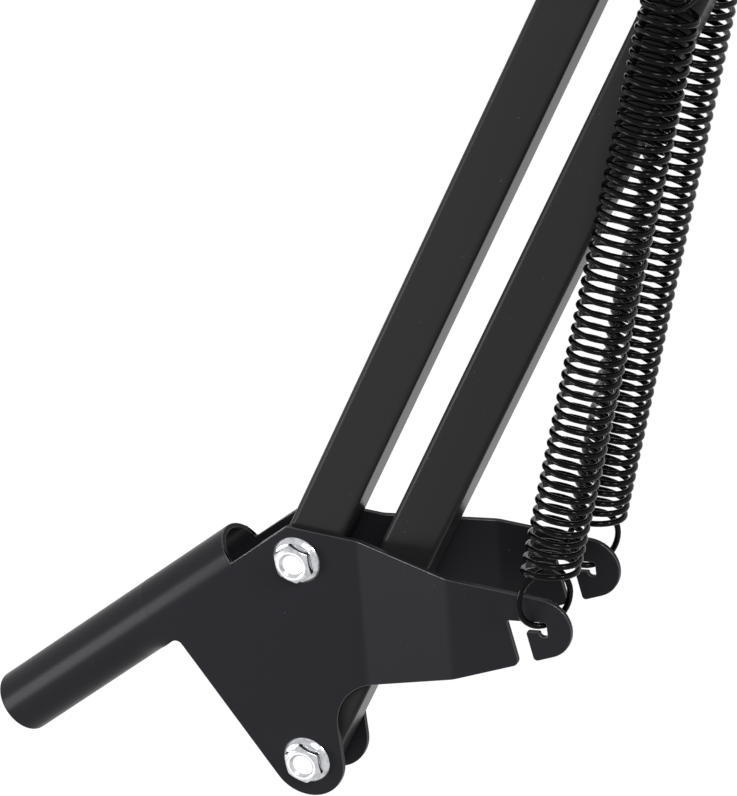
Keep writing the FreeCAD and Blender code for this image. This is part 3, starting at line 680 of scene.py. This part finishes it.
studLook = {
    "top": -21.0,  # heights are from the tilt pivot
    "tailTop": -15.0,
    "tail": 4.0,
    "length": 14.0,
    "radius": 7.9375,
    "depth": 0.52,
    "pitch": 0.9407,
    "rim": 0.6,  # plain rim under the top, and where its slope meets the core
    "rimFoot": 1.1,
    "chamfer": 0.5,
    "threadFrom": 1.0,  # from the top to the middle of the first ridge
    "plain": 1.9,  # length without thread
    "ridgeShare": 0.46,  # half a ridge's foot, as a share of the pitch
    "ridgeSunk": 0.1,
    "crestLow": 0.08,
    "crestHalf": 0.06,
    "steps": 40,
}


def makeStud():
    bm = bmesh.new()
    radius = studLook["radius"]
    core = radius - studLook["depth"]
    top = studLook["top"]
    bottom = top - studLook["length"]
    tail = studLook["tail"]
    chamfer = studLook["chamfer"]
    profile = [(0, studLook["tailTop"]), (tail, studLook["tailTop"]), (tail, top), (radius, top),
               (radius, top - studLook["rim"]), (core, top - studLook["rimFoot"]),
               (core, bottom + chamfer), (core - chamfer, bottom), (0, bottom)]
    points = [bm.verts.new((x * mm, 0, z * mm)) for x, z in profile]
    edges = [bm.edges.new(pair) for pair in zip(points, points[1:])]
    bmesh.ops.spin(bm, geom=points + edges, cent=(0, 0, 0), axis=(0, 0, 1), angle=2 * math.pi,
                   steps=studLook["steps"], use_merge=True)
    bmesh.ops.remove_doubles(bm, verts=bm.verts, dist=same)

    turns = int((studLook["length"] - studLook["plain"]) / studLook["pitch"])
    half = studLook["pitch"] * studLook["ridgeShare"]
    start = top - studLook["threadFrom"]
    foot = core - studLook["ridgeSunk"]
    crest = radius - studLook["crestLow"]
    ridge = [(foot, start + half), (crest, start + studLook["crestHalf"]),
             (crest, start - studLook["crestHalf"]), (foot, start - half)]
    corners = [bm.verts.new((x * mm, 0, z * mm)) for x, z in ridge]
    cap = bm.faces.new(corners)
    bmesh.ops.spin(bm, geom=[cap], cent=(0, 0, 0), axis=(0, 0, 1),
                   dvec=(0, 0, -studLook["pitch"] * mm / studLook["steps"]),
                   angle=2 * math.pi * turns, steps=turns * studLook["steps"])
    bmesh.ops.recalc_face_normals(bm, faces=bm.faces)
    bmesh.ops.translate(bm, vec=pivotOf["tilt"], verts=bm.verts)
    print("stud thread:", turns, "turns")
    finishPiece(bm, "mic_stud", "brightZinc")


makeStud()


# Camera, floor and lights

photoCamera = {
    "place": (-0.10095, -0.72392, 0.56545),
    "right": (0.61447, 0.39354, 0.68378),
    "down": (0.78238, -0.41552, -0.46393),
    "forward": (0.10155, 0.82004, -0.56322),
    "lens": 217.13,
    "clipStart": 0.01,
}
right = Vector(photoCamera["right"])
up = -Vector(photoCamera["down"])
forward = Vector(photoCamera["forward"])


def makeCamera():
    data = bpy.data.cameras.new("photoCamera")
    data.lens = photoCamera["lens"]
    data.clip_start = photoCamera["clipStart"]
    camera = bpy.data.objects.new("photoCamera", data)
    turn = Matrix((right, up, -forward)).transposed().to_4x4()
    camera.matrix_world = Matrix.Translation(Vector(photoCamera["place"])) @ turn
    scene.collection.objects.link(camera)
    scene.camera = camera


studio = {
    "floorHeight": -0.35,
    "floorSize": 8.0,
    "floorColour": (0.8, 0.8, 0.8),
    "floorRoughness": 0.9,
    "floorGlow": 0.84,  # lifts the floor to white where it is seen directly
    "fill": 0.12,  # strength of the white room as a light
    "white": (1.0, 1.0, 1.0, 1.0),
}


def seenDirectly(tree):
    # 1 for rays from the camera, or seen in metal or through glass
    path = tree.nodes.new("ShaderNodeLightPath")
    glossy = tree.nodes.new("ShaderNodeMath")
    glossy.operation = "MAXIMUM"
    tree.links.new(path.outputs["Is Camera Ray"], glossy.inputs[0])
    tree.links.new(path.outputs["Is Glossy Ray"], glossy.inputs[1])
    either = tree.nodes.new("ShaderNodeMath")
    either.operation = "MAXIMUM"
    tree.links.new(glossy.outputs[0], either.inputs[0])
    tree.links.new(path.outputs["Is Transmission Ray"], either.inputs[1])
    return either.outputs[0]


def makeWorld():
    world = bpy.data.worlds.new("whiteRoom")
    world.use_nodes = True
    tree = world.node_tree
    background = tree.nodes["Background"]
    background.inputs["Color"].default_value = studio["white"]
    level = tree.nodes.new("ShaderNodeMapRange")
    level.inputs["To Min"].default_value = studio["fill"]
    level.inputs["To Max"].default_value = 1.0
    tree.links.new(seenDirectly(tree), level.inputs["Value"])
    tree.links.new(level.outputs["Result"], background.inputs["Strength"])
    scene.world = world


def makeFloor():
    bm = bmesh.new()
    bmesh.ops.create_grid(bm, x_segments=1, y_segments=1, size=studio["floorSize"] / 2)
    bmesh.ops.translate(bm, vec=(0, 0, studio["floorHeight"]), verts=bm.verts)
    mesh = bpy.data.meshes.new("floor")
    bm.to_mesh(mesh)
    bm.free()
    material, shader = newFinish("paleFloor", studio["floorColour"], studio["floorRoughness"], specular=0.0)
    shader.inputs["Emission Color"].default_value = studio["white"]
    tree = material.node_tree
    glow = tree.nodes.new("ShaderNodeMath")
    glow.operation = "MULTIPLY"
    glow.inputs[1].default_value = studio["floorGlow"]
    tree.links.new(seenDirectly(tree), glow.inputs[0])
    tree.links.new(glow.outputs[0], shader.inputs["Emission Strength"])
    mesh.materials.append(material)
    floor = bpy.data.objects.new("floor", mesh)
    scene.collection.objects.link(floor)


# lamp places are given along the photograph's right, up and towards the camera, from the middle of the view
lampAim = Vector((0.0, 0.0, 0.06))
lamps = [
    {"name": "frontLamp", "way": (0.05, 0.25, 0.97), "distance": 0.55, "size": (0.2, 0.2), "power": 1.4},
    {"name": "rightLamp", "way": (0.60, 0.25, 0.76), "distance": 0.9, "size": (0.16, 0.16), "power": 2.5},
    {"name": "lowLamp", "way": (-0.941, -0.313, 0.13), "distance": 0.507, "size": (0.22, 0.11),
     "power": 1.25},
]


def makeLamp(lamp):
    data = bpy.data.lights.new(lamp["name"], "AREA")
    data.shape = "RECTANGLE"
    data.size, data.size_y = lamp["size"]
    data.energy = lamp["power"]
    way = right * lamp["way"][0] + up * lamp["way"][1] - forward * lamp["way"][2]
    item = bpy.data.objects.new(lamp["name"], data)
    item.location = lampAim + way.normalized() * lamp["distance"]
    item.rotation_euler = way.to_track_quat("Z", "Y").to_euler()
    item.visible_camera = False
    scene.collection.objects.link(item)


makeCamera()
makeWorld()
makeFloor()
for lamp in lamps:
    makeLamp(lamp)
print("studio made:", len(lamps), "lamps")
